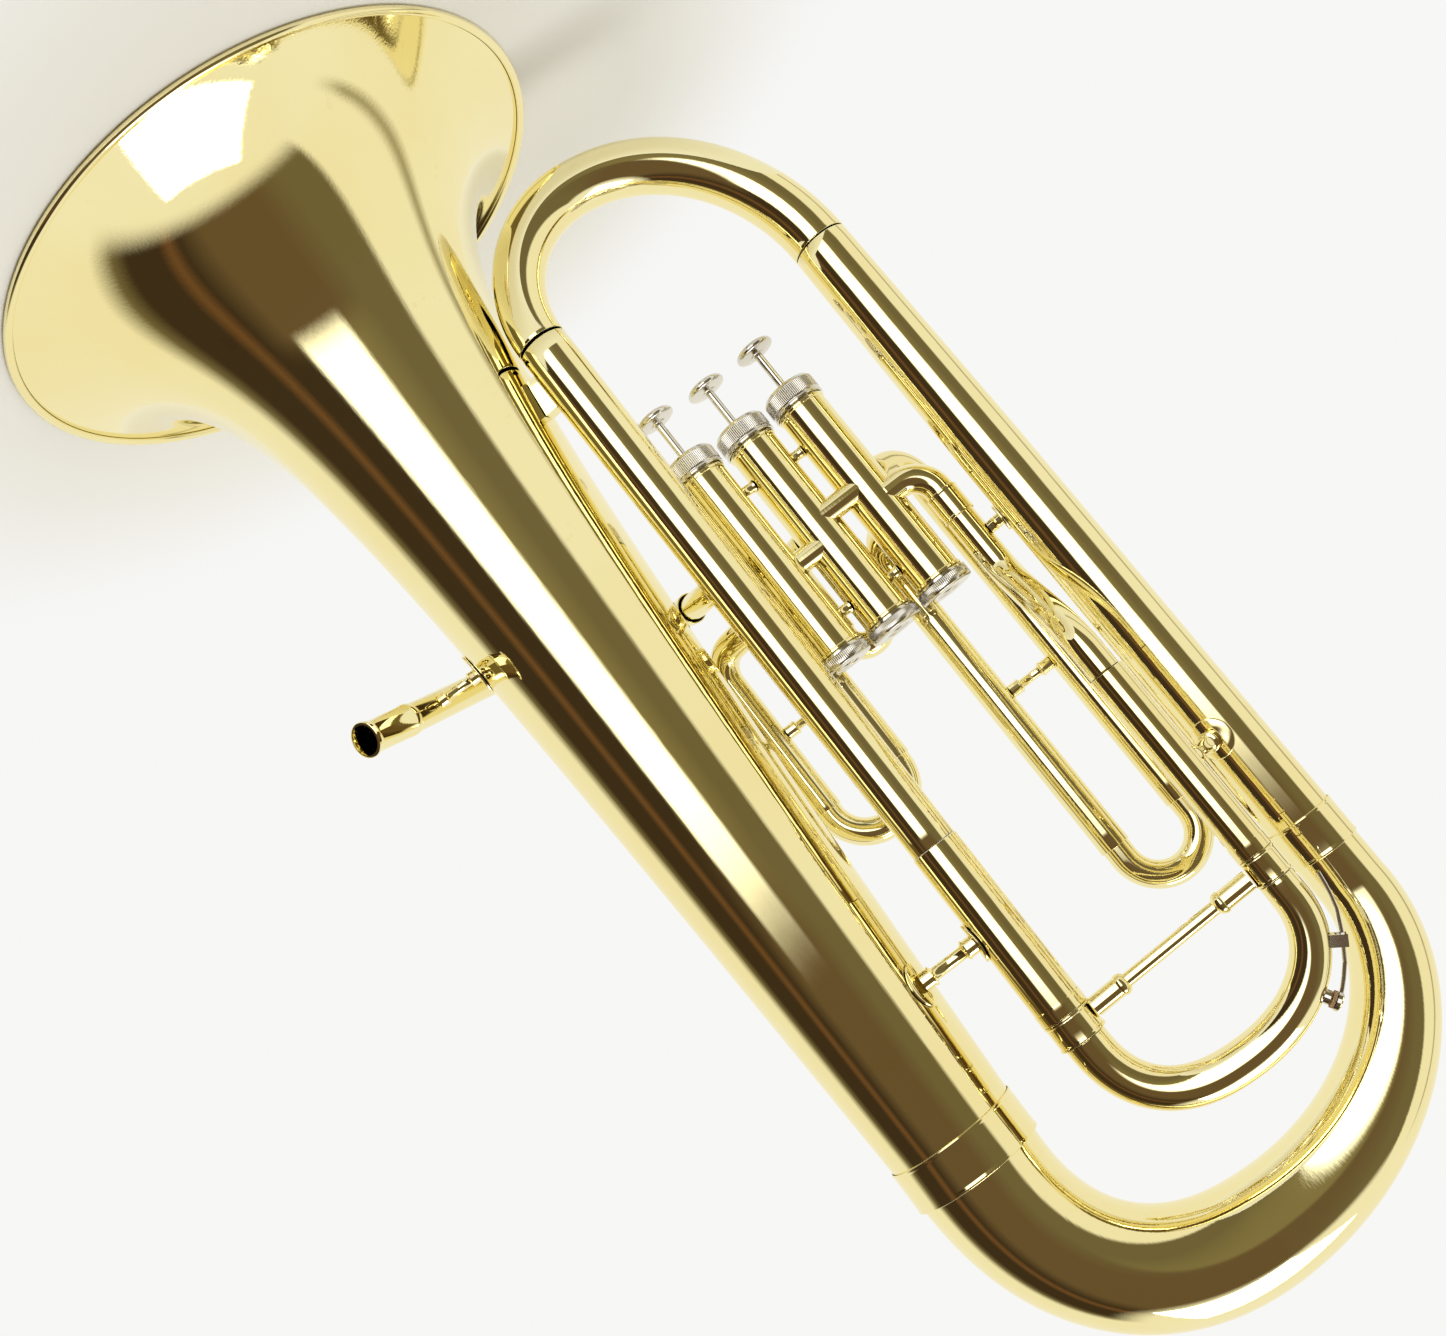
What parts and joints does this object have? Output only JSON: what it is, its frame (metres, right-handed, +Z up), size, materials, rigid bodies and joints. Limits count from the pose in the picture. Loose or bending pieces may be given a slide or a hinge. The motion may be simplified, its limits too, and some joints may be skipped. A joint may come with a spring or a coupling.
{
  "type": "euphonium",
  "caption": "Three-valve upright brass euphonium standing on its bell, with working valves, tuning slide, valve slides and water key.",
  "frame": {"origin": "centre of the bounding box's lower face, on the surface the bell's rim stands on", "axes": "+Z up from the bell's mouth to the bottom bow, +X towards the bell's side, -Y towards the mouthpiece receiver"},
  "size_m": [0.3552, 0.28, 0.644],
  "materials": {
    "lacquered_brass": "clear lacquered brass, polished",
    "nickel_silver": "polished nickel silver plating",
    "steel": "bright spring steel wire",
    "cork": "natural cork"
  },
  "bodies": {
    "instrument": {"bell": "lacquered_brass", "bell_rim_wire": "lacquered_brass", "bell_ferrule": "lacquered_brass", "bottom_bow": "lacquered_brass", "bow_ferrule": "lacquered_brass", "outer_branch": "lacquered_brass", "top_bow": "lacquered_brass", "inner_branch": "lacquered_brass", "tuning_sleeve_left": "lacquered_brass", "tuning_sleeve_right": "lacquered_brass", "neck_pipe": "lacquered_brass", "outlet_elbow": "lacquered_brass", "outlet_ferrule": "lacquered_brass", "leadpipe": "lacquered_brass", "mouthpiece_receiver": "lacquered_brass", "leadpipe_ferrule": "lacquered_brass", "valve_knuckle_1": "lacquered_brass", "valve_knuckle_2": "lacquered_brass", "bell_brace": "lacquered_brass", "outer_branch_brace": "lacquered_brass", "outlet_brace": "lacquered_brass", "first_slide_brace": "lacquered_brass", "third_slide_brace": "lacquered_brass", "bell_saddle": "lacquered_brass", "receiver_brace": "lacquered_brass", "first_slide_tube_left": "lacquered_brass", "first_slide_tube_right": "lacquered_brass", "second_slide_tube_left": "lacquered_brass", "second_slide_tube_right": "lacquered_brass", "third_slide_tube_left": "lacquered_brass", "third_slide_tube_right": "lacquered_brass", "valve_1_casing": "lacquered_brass", "valve_1_top_cap": "nickel_silver", "valve_1_bottom_cap": "nickel_silver", "valve_2_casing": "lacquered_brass", "valve_2_top_cap": "nickel_silver", "valve_2_bottom_cap": "nickel_silver", "valve_3_casing": "lacquered_brass", "valve_3_top_cap": "nickel_silver", "valve_3_bottom_cap": "nickel_silver"},
    "valve_1": {"valve_1_piston": "nickel_silver", "valve_1_button": "nickel_silver", "valve_1_spring": "steel"},
    "valve_2": {"valve_2_piston": "nickel_silver", "valve_2_button": "nickel_silver", "valve_2_spring": "steel"},
    "valve_3": {"valve_3_piston": "nickel_silver", "valve_3_button": "nickel_silver", "valve_3_spring": "steel"},
    "tuning_slide": {"tuning_crook": "lacquered_brass", "tuning_leg_left": "lacquered_brass", "tuning_leg_right": "lacquered_brass", "tuning_pull_brace": "lacquered_brass", "water_key_spout": "nickel_silver", "water_key_saddle": "nickel_silver"},
    "water_key": {"water_key_lever": "nickel_silver", "water_key_cork": "cork"},
    "first_slide": {"first_slide_crook": "lacquered_brass"},
    "second_slide": {"second_slide_crook": "lacquered_brass"},
    "third_slide": {"third_slide_crook": "lacquered_brass"}
  },
  "joints": [
    {"name": "valve_1_press", "type": "slide", "parent": "instrument", "child": "valve_1", "axis": [0, 0, 1], "range_m": [0, 0.016], "stiffness_N_per_m": 90, "springref_m": -0.02, "deforming": ["valve_1_spring"]},
    {"name": "valve_2_press", "type": "slide", "parent": "instrument", "child": "valve_2", "axis": [0, 0, 1], "range_m": [0, 0.016], "stiffness_N_per_m": 90, "springref_m": -0.02, "deforming": ["valve_2_spring"]},
    {"name": "valve_3_press", "type": "slide", "parent": "instrument", "child": "valve_3", "axis": [0, 0, 1], "range_m": [0, 0.016], "stiffness_N_per_m": 90, "springref_m": -0.02, "deforming": ["valve_3_spring"]},
    {"name": "tuning_slide_pull", "type": "slide", "parent": "instrument", "child": "tuning_slide", "axis": [0, 0, 1], "range_m": [0, 0.03]},
    {"name": "water_key_hinge", "type": "hinge", "parent": "tuning_slide", "child": "water_key", "pos_m": [-0.13399, -0.04107, 0.5407], "axis": [0.2178, -0.976, 0], "range_deg": [0, 9], "stiffness_Nm_per_rad": 0.03, "springref_deg": -28.65},
    {"name": "first_slide_pull", "type": "slide", "parent": "instrument", "child": "first_slide", "axis": [0, 0, 1], "range_m": [0, 0.055]},
    {"name": "second_slide_pull", "type": "slide", "parent": "instrument", "child": "second_slide", "axis": [0, 0, 1], "range_m": [0, 0.011]},
    {"name": "third_slide_pull", "type": "slide", "parent": "instrument", "child": "third_slide", "axis": [0, 0, 1], "range_m": [0, 0.08]}
  ]
}
